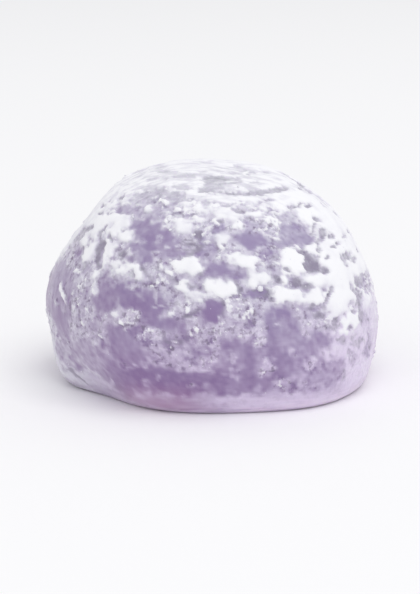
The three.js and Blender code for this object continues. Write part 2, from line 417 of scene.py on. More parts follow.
# %% Clumps
CLUMPS = [
    # left shoulder
    (-55, 47.3, 14, 4.5, 1.05), (-43, 47.4, 10, 7, 0.98), (-41.6, 50.6, 6, 3, 0.98),
    (-62.5, 57, 9, 7.5, 0.95), (-55, 61.5, 8.5, 8.5, 1.0), (-42.5, 59.5, 5.5, 10, 0.96),
    (-46, 52, 6, 3, 1.0), (-44.2, 56.4, 8, 5, 0.97), (-37.4, 52.4, 8.4, 4.4, 1.0),
    (-38, 63.4, 9, 4, 0.88), (-45.3, 70, 4, 8.5, 0.86),
    # brow and middle
    (-30.8, 39.4, 5, 2.8, 1.1), (-32.4, 33.4, 3, 1.6, 0.88),
    (-22.6, 36.2, 4.6, 1.8, 1.02), (-23.4, 38.8, 2.6, 1.3, 0.84),
    (-14.4, 38.4, 3.6, 1.7, 0.88), (-27.6, 36, 2, 1.2, 0.78), (-5, 32, 14, 5, 0.98),
    (-9.4, 46.4, 9, 5.6, 0.96), (-17, 42, 7, 2.4, 0.82), (-5, 44.8, 14, 2.2, 0.9),
    (15, 34, 22, 3.6, 0.98), (14, 42.5, 12, 5, 0.98), (27, 43.6, 7, 2.6, 0.95),
    (34, 35, 12, 5, 0.98), (35, 40, 7, 4, 0.94), (7.6, 52.2, 6.4, 4.4, 1.0),
    (-4.8, 62.4, 9.6, 7, 1.06), (-9.6, 62.6, 7, 5.4, 1.0),
    (-13.2, 64.4, 6.6, 4.2, 0.82), (-29.4, 65, 12.4, 4.6, 0.92),
    (-25.3, 66.7, 4, 4, 0.95), (-8.7, 69.3, 5.5, 4.2, 0.96), (5.2, 69.8, 12, 5.6, 1.12),
    (7, 57, 5, 2.6, 0.8), (15, 60.6, 11, 5.6, 1.0), (17.8, 67.6, 10, 5.4, 1.06),
    (34.5, 60, 8, 4.2, 1.1), (35, 63.4, 11.5, 7.4, 1.15), (30, 65.8, 5, 3.4, 1.05),
    (27, 68.5, 5, 3, 0.96), (40, 69.8, 14, 4, 0.98), (24, 71.4, 6, 3, 1.05),
    (-3, 72, 9, 3, 0.9), (26.5, 73.4, 13, 4, 1.04), (10, 74.3, 12, 3, 0.76),
    (31, 74.5, 8, 4.5, 1.0), (38.5, 75.4, 9, 5.4, 1.1),
    # right
    (60, 38, 30, 8, 1.1), (60, 46.8, 15, 5, 1.15), (54, 65, 16, 11, 1.06),
    (54, 58.3, 9, 3.4, 0.96), (48, 78.5, 12, 9, 1.02), (54, 72, 14, 7, 1.0),
    (56, 85, 9, 6, 1.15),
    # low, smaller and thinner
    (-30, 81.4, 13, 4.6, 0.6), (-32.8, 80.5, 3.4, 2.4, 0.92), (-26, 79, 4, 3, 0.62),
    (-20.6, 84.6, 3.6, 2.6, 0.66), (-23.2, 86.4, 3, 2, 0.56),
    (-17.4, 84.6, 4, 1.8, 0.6), (-9, 77, 5, 4, 0.72), (-12.5, 78.3, 2.4, 2.2, 0.86),
    (-4.4, 82.8, 4, 4.6, 0.76), (-1, 83.4, 6, 3, 0.62), (15.6, 87.4, 4.4, 5.4, 0.78),
    (16.8, 83.8, 3.6, 2.6, 0.62), (17.5, 96.8, 5, 6, 0.66),
    (22.5, 102.6, 4.8, 4.8, 0.66), (33, 96.6, 5, 4.8, 0.68),
    (-8.5, 102.3, 2.4, 2.4, 0.6), (-68, 82.5, 7, 2, 0.54), (45, 94, 13, 4.4, 0.98),
    (50, 87, 12, 6, 1.2), (38, 83.6, 9, 2.2, 0.82), (-54, 77.5, 5, 3.4, 0.66),
    (-54, 82.7, 4.4, 4.6, 0.66), (-52.5, 88, 8, 5, 0.6),
]
PAINTED = GROUNDS + HAZES + WINDOWS + CLUMPS  # in this order, and touches after them
print("clumps:", len(CLUMPS), "dabs so far:", len(PAINTED))

# %% Touches
TOUCHES = [
    # two windows with a crisp rim, and the grey between the brow's windows
    (2, 76.8, 6.4, 8, 0.0), (17.6, 72.4, 8, 4.2, 0.0), (-4.6, 55, 17, 6.6, 0.14),
    # specks and gaps in the white
    (27.6, 60.4, 4, 3, 0.3), (50, 60.4, 4, 2, 0.5), (0, 65.2, 6, 2.2, 0.1),
    (11.2, 66.6, 2.6, 6, 0.14), (60.5, 75.4, 4, 3, 0.4), (-35.4, 70.4, 5, 2.4, 0.5),
    (-26, 69.8, 3, 2, 0.5), (-72.6, 56.4, 9, 6, 0.3), (-48.6, 58.6, 4.6, 4.4, 0.14),
    (42.4, 63.4, 7, 6, 0.1), (42.4, 66, 6, 3.6, 0.08), (47.6, 67.6, 5, 2, 0.16),
    (40.6, 60, 5, 2, 0.14), (64, 80, 6, 5, 0.42), (-61, 37, 7, 2.6, 0.54),
    (-67, 40, 7, 1.2, 0.58), (-72, 42.7, 7, 1.2, 0.6), (-64, 45.6, 6, 1.3, 0.58),
    (-56, 44.6, 6, 1.6, 0.62), (-59, 56.7, 5, 1.2, 0.68), (-58.6, 59.2, 3.4, 1.2, 0.58),
    (-35.6, 59.2, 6, 3.4, 0.1), (-40, 51, 2.4, 1.8, 0.55), (-35.6, 61.6, 5, 1.4, 0.34),
    (-28.5, 66.2, 3.4, 1.6, 0.42), (-53, 66.5, 4.4, 2, 0.3), (-49, 69, 3.4, 3, 0.36),
    (-12, 41.3, 7, 1.8, 0.44), (-4, 41.6, 5.6, 2.6, 0.42), (4, 42.7, 3.4, 1.6, 0.58),
    (-8, 34.2, 6, 1.3, 0.62), (3, 35.6, 5, 1.8, 0.58), (-2.4, 49.6, 3.8, 3, 0.06),
    (8.4, 45, 2.4, 2, 0.12), (5, 48.4, 4, 2, 0.16), (15.8, 38.2, 8, 2.4, 0.5),
    (20.5, 41, 8, 3, 0.36), (28, 41, 5, 2, 0.58), (38.5, 42.6, 5, 2, 0.68),
    (42, 37.2, 5, 1.4, 0.58), (22.7, 44.6, 4, 2, 0.36), (53, 42.8, 8, 1.6, 0.38),
    (61, 42.8, 8, 1.1, 0.6), (66, 44.4, 9, 1.5, 0.44), (61, 50, 3.4, 2.6, 0.34),
    (62, 57.2, 5, 2.2, 0.52), (60, 60.6, 11, 1.4, 0.48), (47, 62.6, 3, 1.2, 0.46),
    (51.4, 63.6, 2.6, 1.1, 0.42), (65, 65.6, 10, 2.6, 0.38), (70, 67.8, 7, 1.6, 0.48),
    (62, 67.6, 4, 1.2, 0.58), (75, 59.4, 12, 1.2, 0.7), (24.8, 63.6, 4, 3.2, 0.36),
    (25.4, 67.8, 3, 2.8, 0.16), (32.6, 69.8, 5, 2.8, 0.08), (30.4, 65.3, 2.4, 1.4, 0.3),
    (36.7, 71.6, 5, 2, 0.18), (-4, 69.2, 4.2, 2.2, 0.18), (-11.8, 67.2, 4, 2.8, 0.2),
    (12, 56, 6, 1.5, 0.56), (11.3, 69.8, 3, 4, 0.26), (70, 75, 12, 4.4, 0.38),
    (64, 77.6, 5, 2.4, 0.44), (61, 81, 7, 1.7, 0.48), (57, 83.4, 4, 1.6, 0.5),
    (62.6, 85.5, 4, 7, 0.32), (52, 87.6, 3.4, 2.8, 0.38), (46, 86.6, 3.6, 1.7, 0.46),
    (45.6, 84.6, 2.6, 1.3, 0.32), (55, 91, 4.6, 1.9, 0.38), (57.5, 94, 7, 2.4, 0.44),
    (48.5, 91, 5.5, 2.6, 0.48), (51.3, 97, 2, 3.6, 0.48), (35.6, 78.3, 4.4, 2.2, 0.16),
    (33, 80.6, 4, 1.8, 0.34), (39.4, 81.4, 5.6, 2.4, 0.16), (45.6, 84, 3.4, 1.4, 0.3),
    (84, 37.6, 14, 2.6, 0.42),
    # flecks in the white of the right side
    (80, 47, 4, 1.8, 0.5), (87, 53, 6, 2.6, 0.36), (92, 46, 5, 3, 0.42),
    (84, 60, 4, 2, 0.46), (95, 60, 6, 4, 0.34), (79, 66, 4, 2, 0.5),
    (90, 68, 7, 3, 0.4), (98, 38, 7, 3, 0.5), (102, 52, 5, 5, 0.3),
    (86, 41, 6, 1.6, 0.55),
    # light touches on the bare dough
    (-20, 52.2, 4, 3, 0.36), (-27, 53.4, 4, 2, 0.26), (-16.2, 55.2, 2.2, 1.6, 0.42),
    (0.4, 53, 5, 1.6, 0.86), (1.6, 50.2, 3.4, 2.6, 0.74), (-20, 58.2, 4.6, 3, 0.38),
    (-21, 63, 7, 3.4, 0.56), (-17, 65.8, 6.4, 3, 0.58), (21.6, 62.4, 2.3, 1.8, 0.84),
    (-68, 67.6, 7, 1.3, 0.56), (-57.4, 69.2, 4.4, 1.9, 0.92),
    (-55.8, 72, 3.4, 1.8, 0.66), (-35, 71, 2.4, 1.2, 0.42),
    (-28.5, 71.1, 3.4, 1.7, 0.42), (-11, 73.4, 7, 4.5, 0.6), (-17, 75.8, 4.6, 1, 0.54),
    (-49, 78, 4.6, 4, 0.58), (-62, 83.2, 4.6, 2.2, 0.34), (-43, 91, 3, 2.3, 0.58),
    (-7, 79.4, 6, 1.4, 0.6), (7, 77, 3.4, 5, 0.74), (9.6, 82, 3, 4, 0.56),
    (12.4, 81.6, 3.4, 3.4, 0.34), (7, 83.6, 3, 2.4, 0.4), (-17.6, 88, 3.4, 1.8, 0.2),
    (-21, 88.4, 2.6, 2, 0.22), (-13, 87.6, 7.4, 2.8, 0.05),
    (-12.4, 87.6, 1.4, 1.1, 0.92), (-8, 86, 2, 3.4, 0.12), (-8.4, 90, 2.2, 3, 0.56),
    (-16.5, 90.6, 7, 2, 0.6), (-15, 85.2, 6, 1.3, 0.54), (-5, 88.6, 7, 3, 0.5),
    (-13, 93.6, 11, 2.8, 0.52), (-7.6, 93.8, 4, 1.8, 0.22), (-18.6, 93.4, 4, 1.2, 0.24),
    (-3.6, 91.4, 3, 1.8, 0.26), (-7, 96.8, 13, 2, 0.44), (-21, 93, 3, 1.7, 0.4),
    (-26.6, 96, 1.8, 1.8, 0.44), (-31, 97.2, 4, 1.5, 0.42),
    (-19.5, 100.3, 1.7, 1.5, 0.56), (-23.5, 103, 3, 3.8, 0.32),
    (-3.5, 102, 3, 2.8, 0.24), (-18, 107, 5, 3.4, 0.4), (-11.5, 107.4, 2.4, 2, 0.46),
    (-3.4, 107.4, 6, 4, 0.42), (6.6, 97.4, 4, 6, 0.4), (6.3, 92.4, 2.4, 3, 0.5),
    (33, 88, 2.6, 1.6, 0.44), (40, 86, 7, 1.8, 0.5), (27, 91.8, 3.6, 2.4, 0.46),
    (28.5, 96.5, 2.2, 3.2, 0.48), (31.6, 82.6, 2.4, 3, 0.5),
    (21.6, 82.4, 1.3, 1.1, 0.6), (47.6, 101, 2.6, 7, 0.48), (54, 98, 5, 6, 0.68),
    (55, 93.4, 6, 2, 0.38),
]
print("touches:", len(TOUCHES))

# %% Strokes
# from turn and fall, to turn and fall, thickness in degrees of fall, and load
STROKES = [
    (20, 30.4, 66, 34.2, 2.6, 0.44), (-29, 58, -20, 68, 1.4, 0.26),
    (50, 58.3, 60, 54, 1.2, 0.34), (41, 79.5, 47.5, 73.5, 1.3, 0.36),
    (1.6, 85, -0.4, 93, 2.2, 0.66), (-2.6, 76.4, -8.4, 79, 1.3, 0.1),
    (-66.4, 75.4, -60, 80.6, 1.7, 0.95), (-57, 93, -45, 89, 2.0, 0.6),
    # the second stroke on the next line whitens the left rim, in part as a painted
    # sheen
    (-66, 106, -60, 111, 1.2, 0.1), (-86, 48, -81, 66, 6, 0.9),
    (-18.5, 69, -18.5, 74, 1.1, 0.6), (-44, 109, -40, 105, 1.4, 0.5),
    (-9, 74.6, -3, 73.4, 2, 0.86), (51, 56.6, 59, 52.6, 1.3, 0.85),
    (50, 54.4, 58, 51.4, 1.0, 0.5), (53, 57.6, 62, 54.4, 1.0, 0.46),
    # soft streaks right of the brow's window
    (26, 50, 32, 53.6, 2.6, 0.66), (27, 57, 31, 58, 1.4, 0.56),
    (23, 50, 27, 48, 1.2, 0.5),
    # fine lines between the brow and the middle
    (-14, 50.6, -5, 50.4, 1.0, 0.55), (-12, 52, -3, 51.8, 0.8, 0.46),
    (-11, 53.5, 1, 53.3, 0.9, 0.44), (-12, 55.3, 3, 55, 0.9, 0.42),
    (-13, 56.9, -6, 56.7, 0.8, 0.4),
    # furrows on the left shoulder
    (-50.8, 50.6, -54, 53, 1.2, 0.4), (-53.6, 53.2, -50.4, 56.6, 1.3, 0.4),
    (-49.4, 56.4, -46, 65, 3.2, 0.08), (-75, 55.4, -63, 52, 1.7, 0.3),
    (-77, 58, -69, 56, 1.3, 0.44), (-77, 60.6, -68, 58.6, 1.3, 0.44),
    (-62, 60.4, -58, 62.6, 1.4, 0.34), (-60.5, 56, -57, 59, 2.0, 0.74),
    (-46.4, 53.6, -43, 55.4, 1.0, 0.3), (-47.8, 65.6, -43, 74.6, 2.3, 0.84),
    (-80, 63.6, -70, 61.8, 1.2, 0.5), (-80, 66.4, -66, 64.6, 1.0, 0.66),
    # the brushed crown
    (-12, 16, 10, 15.5, 3.0, 0.64), (5, 18.6, 22, 18.4, 2.8, 0.34),
    (1, 28.2, 8, 28, 3, 0.42), (20, 21, 40, 21.4, 2.4, 0.62),
    (20, 24, 38, 24, 1.6, 0.66), (-30, 19, -10, 18.4, 2.4, 0.66),
    (-52, 24, -38, 22.6, 3.2, 0.72), (-22, 26, -12, 26.6, 3.0, 0.7),
    (62, 20.6, 76, 20.4, 1.6, 0.66), (-68, 16.5, -36, 17, 2.4, 0.78),
    (40, 16.4, 76, 17, 2.0, 0.76), (44, 26, 54, 26.4, 1.6, 0.74),
]
print("strokes:", len(STROKES))

# %% [markdown]
# ## How a dab covers the skin
#
# A dab with a hard edge would look like a sticker, so it fades over a narrow edge that
# wanders. Noise would also break up what is wiped bare or packed tight, and that looks
# wrong, because a thumb leaves a clean window and a clump is smooth. So each dab
# carries a calm as well as its load, and the calm hushes the noise that comes later.

# %% Dabs, strokes and calm
DEGREE = 0.42 * MM  # the length of one degree of fall, on the flank
EDGE = 0.32 * MM  # how far the edge of a dab fades
TOUCH_EDGE = 0.22 * MM
EDGE_SHARE = (0.1, 0.5)  # the least and most of the dab that its edge may take
WANDER_SIZE = 2.4 * MM  # dabs larger than this wander by the full roughness
STROKE_WANDER = 0.8  # how much of the roughness the edge of a stroke takes
STROKE_EDGE = (0.5, 1.5)  # shares of half its thickness over which it fades
HALF_LOAD = 0.55  # neither bare nor packed
CALM_LOADS = (0.22, 0.4)  # how far from it the calm starts, and is full
CALM_MARGIN = 2.0  # degrees that the calm of a dab spreads past it, over both sides
HAZE_CALM = 0.8


def with_dab(load, turn, fall, rough, dab, edge=EDGE):
    """Blends to the dab's load inside its ellipse, softly over its wandering edge."""
    middle, level, turns, falls, target = dab
    off = np.hypot(turned_by(turn, middle) / (turns / 2), (fall - level) / (falls / 2))
    small = min(turns * math.sin(math.radians(level)), falls) * DEGREE
    soft = min(EDGE_SHARE[1], 2 * edge / small + EDGE_SHARE[0])
    wander = rough * min(1, WANDER_SIZE / small)
    return load + (target - load) * (1 - smooth(off + wander, 1 - soft, 1 + soft))


def with_stroke(load, turn, fall, rough, stroke):
    """The same along a line: the distance is taken to the nearest point on it."""
    turn_a, fall_a, turn_b, fall_b, thickness, target = stroke
    narrow = math.sin(math.radians((fall_a + fall_b) / 2))
    here = np.stack([turned_by(turn, turn_a) * narrow, fall - fall_a], -1)
    run = np.array([(turn_b - turn_a) * narrow, fall_b - fall_a])
    part = np.clip(here @ run / (run @ run), 0, 1)
    off = np.linalg.norm(here - part[..., None] * run, axis=-1) / (thickness / 2)
    cover = 1 - smooth(off + STROKE_WANDER * rough, *STROKE_EDGE)
    return load + (target - load) * cover


def calmness(load):
    """Near 1 for bare dough and packed starch, and 0 for the loads between."""
    return smooth(abs(load - HALF_LOAD), *CALM_LOADS)


def with_calm(calm, turn, fall, rough, dab):
    """The calm of a dab, over the dab and a margin round it."""
    middle, level, turns, falls, target = dab
    turns += CALM_MARGIN / math.sin(math.radians(level))
    value = HAZE_CALM if dab in HAZES else calmness(target)
    wider = (middle, level, turns, falls + CALM_MARGIN, value)
    return with_dab(calm, turn, fall, rough, wider)


print("calm of loads 0, 0.5 and 1:", [calmness(load).round(2) for load in (0, 0.5, 1)])

# %% [markdown]
# ## Behind, where nobody painted
#
# The back is seen less, but a cake can be turned round. Painting it would take as many
# dabs again, so a rule lays the starch there. Noise lifts or lowers the load, and a
# curve then draws it to packed or to bare, because starch that has half stuck falls
# off. The rule fades out at both sides, where the painted front takes over, and above
# the foot.

# %% The rule for the back
BEHIND_MIDDLE = 174  # the turn round which the rule holds
BEHIND_TURNS = (74, 100)  # degrees from it over which the rule ends
BEHIND_FOOT = (96, 106)  # falls over which the rule ends
PATCHES = ((10, 0.15), (5, 0.15), (2.6, 0.13))  # length in millimetres, and load
PATCH_SEED = 71
GROUND_LOADS = (0.1, 0.3, 0.42, 0.66, 0.8, 0.9)
PATCH_LOADS = (0.04, 0.16, 0.4, 0.64, 0.92, 1.06)


def behind(load, calm, turn, fall, spot):
    """Noise lifts or lowers the load, and a curve draws it to packed or to bare."""
    part = 1 - smooth(abs(turned_by(turn, BEHIND_MIDDLE)), *BEHIND_TURNS)
    part = part * (1 - smooth(fall, *BEHIND_FOOT))
    patch = np.interp(
        load + layered(spot, PATCH_SEED, *PATCHES), GROUND_LOADS, PATCH_LOADS
    )
    calm = np.maximum(calm, part * calmness(patch))
    return load + (patch - load) * part, calm


print("half a load becomes:", np.interp(0.5, GROUND_LOADS, PATCH_LOADS).round(2))

# %% The load on any ray
TREND_FALLS = (0, 26, 40, 60, 80, 95, 108, 115)
TREND_LOADS = (0.9, 0.86, 0.75, 0.62, 0.48, 0.32, 0.36, 0.45)
WARPS = ((3.5, 0.08), (1.8, 0.1), (0.9, 0.05))  # length and shift in millimetres
WARP_SEEDS = (11, 21, 31)  # one for each axis
WANDERS = ((2.0, 0.14), (1.0, 0.08))  # length in millimetres, and share of a dab
WANDER_SEED = 41
CALM_CROWN = (28, 38)  # degrees of fall over which the calm of the crown ends
CALM_FOOT = (104, 108)
TOUCH_CALM = 0.4
# cuts this deep into the dabs are gaps in the starch, and their dough gets painted
# shade
GAP_DEPTHS = (0.1, 0.5)  # how deep a cut starts to be a gap, and is one in full


def starch_load(ray):
    """Trend, dabs and strokes; painted shade where touches cut them; and the calm."""
    reach = even_reach(ray)
    spot = ray * reach[..., None]
    shift = np.stack([layered(spot, seed, *WARPS) for seed in WARP_SEEDS], -1)
    warped = ray + shift * MM / reach[..., None]
    warped /= np.linalg.norm(warped, axis=-1, keepdims=True)
    turn, fall = turn_of(warped), fall_of(warped)
    load = np.interp(fall, TREND_FALLS, TREND_LOADS)
    rough = layered(spot, WANDER_SEED, *WANDERS)
    calm = 1 - smooth(fall, *CALM_CROWN)
    foot = smooth(fall, *CALM_FOOT)
    for dab in PAINTED:
        load = with_dab(load, turn, fall, rough, dab)
        calm = with_calm(calm, turn, fall, rough, dab)
    load, calm = behind(load, calm, turn, fall, spot)
    before = load
    for dab in TOUCHES:
        load = with_dab(load, turn, fall, rough, dab, TOUCH_EDGE)
        calm = with_dab(calm, turn, fall, rough, (*dab[:4], TOUCH_CALM))
    for stroke in STROKES:
        load = with_stroke(load, turn, fall, rough, stroke)
    return load, smooth(before - load, *GAP_DEPTHS), np.maximum(calm, foot)


print("load on the crown:", starch_load(rays([0.0], [1.0]))[0].round(2))

# %% [markdown]
# ## From load to film and clumps
#
# The same starch looks different by how much of it there is. A light load is a film:
# soft clouds, too thin to feel. Past about two thirds it packs into clumps with an
# edge and a thickness. Two fields of noise make one load into both, and low on the
# flank, where hands have rubbed it, the starch stays a film. On the crown, on the left
# and along the foot the noise is drawn out into fine strokes, because the cake was
# brushed there and slid along the tray.

# %% Film and clumps
STROKES_ON_CROWN = (0.3, 1, 1)  # x, y and z, squeezed: spots draw out along x
STROKES_ON_FOOT = (0.22, 0.22, 1)
STROKES_ON_LEFT = (1, 1, 0.35)
BRUSHED_CROWN = (20, 36)  # each pair is where one edge of a brushed zone fades
BRUSHED_FOOT = (104, 109)
BRUSHED_LEFT = (42, 60)
BRUSHED_FROM = (45, 55)
BRUSHED_TO = (84, 96)
BRUSHED_SHARE = 0.7
FILM_NOISE = ((3.2, 0.5), (1.6, 0.6), (0.85, 0.6))  # millimetres, and height
CRUMB_NOISE = ((2.6, 0.6), (1.4, 0.6), (0.8, 0.6))
FILM_SEED, CRUMB_SEED = 51, 61
DRAWN_SEED = 5  # added to the seed of the even noise, for the drawn-out noise
FILM_SWING, CRUMB_SWING = 0.2, 0.24  # how much load the noise adds or takes
SWING_LOADS = (0.0, 0.2, 0.45, 0.75, 0.95, 1.05)
SWING_SHARES = (0.08, 0.7, 1.1, 1.0, 0.3, 0.05)  # of it, strongest on half a load
CLOUD_LOADS = (0.0, 0.15, 0.35, 0.8, 1.0)  # the same for the film
CLOUD_SHARES = (0.2, 0.4, 0.95, 0.95, 0.1)
CALM_HUSH = 0.8  # how much of the clumps' noise the calm takes away
FILM_HUSH = 0.4  # and of the film's
LOW_FALLS = (74, 98)  # degrees of fall over which starch gets too thin to pack
LOW_LOSS = 0.3


def brushed(ray, spot, seed, layers):
    """Even noise, blended into drawn-out noise on the crown, the foot and the left."""
    field = layered(spot, seed, *layers)
    fall = fall_of(ray)
    left = smooth(-turn_of(ray), *BRUSHED_LEFT)
    left = left * smooth(fall, *BRUSHED_FROM) * (1 - smooth(fall, *BRUSHED_TO))
    zones = (
        (1 - smooth(fall, *BRUSHED_CROWN), STROKES_ON_CROWN),
        (smooth(fall, *BRUSHED_FOOT), STROKES_ON_FOOT),
        (BRUSHED_SHARE * left, STROKES_ON_LEFT),
    )
    for part, squeeze in zones:
        drawn = layered(spot * np.array(squeeze), seed + DRAWN_SEED, *layers)
        field = field + (drawn - field) * part
    return field


def film_and_clumps(ray):
    """Film from 0 to 1, the height of clumps, the painted shade of gaps, and how calm.
    """
    load, gap_shade, calm = starch_load(ray)
    spot = ray * even_reach(ray)[..., None]
    swing = np.interp(load, SWING_LOADS, SWING_SHARES) * (1 - CALM_HUSH * calm)
    cloudy = np.interp(load, CLOUD_LOADS, CLOUD_SHARES) * (1 - FILM_HUSH * calm)
    film = load + FILM_SWING * cloudy * brushed(ray, spot, FILM_SEED, FILM_NOISE)
    clump = load + CRUMB_SWING * swing * brushed(ray, spot, CRUMB_SEED, CRUMB_NOISE)
    clump -= LOW_LOSS * smooth(fall_of(ray), *LOW_FALLS)
    return np.clip(film, 0, 1), clump, gap_shade, calm


print("film on the right flank:", film_and_clumps(rays([90.0], [90.0]))[0].round(2))

# %% [markdown]
# ## The skin, with the starch on it
#
# One closed surface carries dough and starch together: a grid of turns and falls,
# joined to itself at the back and closed by a point at the crown and one under the
# foot. Packed clumps stand a few tenths of a millimetre proud, as real ones do, so
# that they catch light and throw small shadows. The film, the clumps, the painted shade
# of the gaps and the calm ride along on the points, and the finish reads them.

# %% Thickness of the starch
CLUMP_THICKNESS = 0.34 * MM
FILM_THICKNESS = 0.05 * MM
CLUMP_RISES = (0.6, 1.05)  # where a clump starts, and where it is full
NO_STARCH_BELOW = 0.4 * MM
FULL_STARCH_ABOVE = 2.5 * MM


def starch_thickness(ray, film, clump):
    """Film a little, clumps a lot, and none where the foot meets the table."""
    thick = CLUMP_THICKNESS * smooth(clump, *CLUMP_RISES) + FILM_THICKNESS * film
    height = WAIST_HEIGHT + even_reach(ray) * ray[..., 2]
    return thick * smooth(height, NO_STARCH_BELOW, FULL_STARCH_ABOVE)


crown_starch = starch_thickness(rays([0.0], [1.0]), np.ones(1), np.ones(1))
print("packed starch on the crown in mm:", (crown_starch / MM).round(2))

# %% A closed surface from a grid
def linked(name, vertices, quads, fans, material):
    """A mesh object at the origin, smooth shaded, with one material."""
    mesh = bpy.data.meshes.new(name)
    mesh.from_pydata(vertices.reshape(-1, 3), [], quads.tolist() + fans.tolist())
    mesh.polygons.foreach_set("use_smooth", np.ones(len(mesh.polygons), bool))
    mesh.materials.append(material)
    piece = bpy.data.objects.new(name, mesh)
    bpy.context.scene.collection.objects.link(piece)
    return piece


def closed_faces(rows, columns):
    """Quads down and round the grid, and a fan of triangles at each of two poles."""
    across = np.arange(columns)
    after = (across + 1) % columns
    down = (np.arange(rows - 1) * columns)[:, None]
    left, right = down + across, down + after
    quads = np.stack([left, left + columns, right + columns, right], -1).reshape(-1, 4)
    crown, foot = rows * columns, rows * columns + 1
    last = (rows - 1) * columns
    top = np.stack([np.full(columns, crown), across, after], -1)
    bottom = np.stack([np.full(columns, foot), last + after, last + across], -1)
    return quads, np.concatenate([top, bottom])


def ray_grid(columns, falls, start=0):
    """Even turns from a start at every fall, row by row, and the two poles last."""
    turns = np.arange(columns) * 360 / columns + start
    grid = rays(turns[None, :], falls[:, None]).reshape(-1, 3)
    return np.concatenate([grid, rays([0.0, 0.0], [0.0, 180.0])])


print("quads and triangles of a ball of 3 rings of 8:", *map(len, closed_faces(3, 8)))

# %% The points of the skin
SKIN_TURNS = 480
SIDE_FALLS = np.linspace(0.6, 124, 196)  # close rows, down to the foot
UNDER_FALLS = np.linspace(130, 176, 8)  # wide rows, under it


def starched(ray, film, clump):
    """The dough's reach and the starch's thickness on it, taken to a place."""
    return placed(ray, dough_reach(ray) + starch_thickness(ray, film, clump))


skin_falls = np.concatenate([SIDE_FALLS, UNDER_FALLS])
skin = ray_grid(SKIN_TURNS, skin_falls, start=-180)
skin_starch = film_and_clumps(skin)
skin_points = starched(skin, *skin_starch[:2])
print("skin points:", len(skin), "film mean:", skin_starch[0].mean().round(2))

# %% [markdown]
# ## Shader sums written as Python
#
# A finish is easier to read as `film * 0.8 + 0.1` than as a drawing of boxes. A small
# class wraps one socket, and each operator on it adds the Math node that does that
# sum. Everything else goes through one method that takes a node's type, its settings
# and what its sockets get.

# %% A class for sockets
class Wire:
    """A socket that can be added, taken away and multiplied."""

    def __init__(self, finish, socket):
        self.finish = finish
        self.socket = socket

    def sum_of(self, operation, *values):
        """One Math node."""
        sockets = dict(enumerate(values))
        return self.finish.node("ShaderNodeMath", {"operation": operation}, sockets)

    def __add__(self, other):
        return self.sum_of("ADD", self, other)

    def __sub__(self, other):
        return self.sum_of("SUBTRACT", self, other)

    def __rsub__(self, other):
        return self.sum_of("SUBTRACT", other, self)

    def __mul__(self, other):
        return self.sum_of("MULTIPLY", self, other)

    def limited(self):
        """Held between 0 and 1."""
        return self.finish.node("ShaderNodeClamp", {}, {"Value": self})

    def rise(self, low, high):
        """0 below low, 1 above high, and an S-shaped rise between."""
        settings = {"interpolation_type": "SMOOTHSTEP"}
        sockets = {"Value": self, "From Min": low, "From Max": high}
        return self.finish.node("ShaderNodeMapRange", settings, sockets)

    __radd__ = __add__
    __rmul__ = __mul__


print("a wire has:", [name for name in vars(Wire) if name[0] != "_"])

# %% A class for finishes
class Finish:
    """A material whose nodes are added by one method."""

    def __init__(self, name):
        self.material = bpy.data.materials.new(name)
        self.material.use_nodes = True
        self.tree = self.material.node_tree
        self.tree.nodes.clear()

    def node(self, kind, settings, sockets, output=0):
        """One node of a kind, with its settings and sockets, and one of its outputs."""
        made = self.tree.nodes.new(kind)
        for name, value in settings.items():
            setattr(made, name, value)
        for name, value in sockets.items():
            if isinstance(value, Wire):
                self.tree.links.new(value.socket, made.inputs[name])
            else:
                made.inputs[name].default_value = value
        return Wire(self, made.outputs[output])

    def noise(self, size, detail=2.0, seed=0.0, squeeze=(1, 1, 1)):
        """Blender's noise on Object coordinates, from 0 to 1, in spots of that size."""
        place = self.node("ShaderNodeTexCoord", {}, {}, "Object")
        settings, sockets = {"operation": "MULTIPLY"}, {0: place, 1: squeeze}
        place = self.node("ShaderNodeVectorMath", settings, sockets)
        settings = {"noise_dimensions": "4D"}
        sockets = {"Vector": place, "W": seed, "Scale": 1 / size, "Detail": detail}
        return self.node("ShaderNodeTexNoise", settings, sockets)

    def swing(self, size, **settings):
        """The same noise, but round zero."""
        return self.noise(size, **settings) - 0.5

    def place(self, axis):
        """How far along one axis of the object, in metres."""
        place = self.node("ShaderNodeTexCoord", {}, {}, "Object")
        return self.node("ShaderNodeSeparateXYZ", {}, {"Vector": place}, axis)

    def grain(self, heights, strength, distance):
        """Fine relief that only the light sees."""
        sockets = {"Strength": strength, "Distance": distance, "Height": heights}
        return self.node("ShaderNodeBump", {}, sockets)

    def carried(self, name):
        """A value that rides on the mesh's points."""
        settings = {"attribute_name": name}
        return self.node("ShaderNodeAttribute", settings, {}, "Fac")

    def blend(self, part, first, second):
        """Two colours mixed by a part from 0 to 1."""
        settings = {"data_type": "RGBA"}
        return self.node("ShaderNodeMix", settings, {0: part, 6: first, 7: second}, 2)

    def shown_by(self, shader):
        """The material, with this shader as its surface."""
        output = self.tree.nodes.new("ShaderNodeOutputMaterial")
        self.tree.links.new(shader.socket, output.inputs["Surface"])
        return self.material


print("a finish has:", [name for name in vars(Finish) if name[0] != "_"])

# %% [markdown]
# ## The finish of the dusted skin
#
# Cooked rice dough lets light in a little way, so its shader has some subsurface
# scattering, and its own gloss is low and broad. It isn't one colour all over: it is
# deeper low down and to the left, partly its own tone and partly painted shade away
# from the panel; greyer on the crown; and rosy in drawn-out lines along the foot, made
# lighter there as painted light against the shade near the table. One flat colour with
# noise on it would miss that, so the colour is worked out from the place on the cake.

# %% Colours
def pigment(red, green, blue):
    """A colour as it looks on a screen, 0 to 255, taken to light by the sRGB curve."""
    screen = [v / 255 for v in (red, green, blue)]
    linear = [
        v / 12.92 if v <= 0.04045 else ((v + 0.055) / 1.055) ** 2.4 for v in screen
    ]
    return (*linear, 1.0)
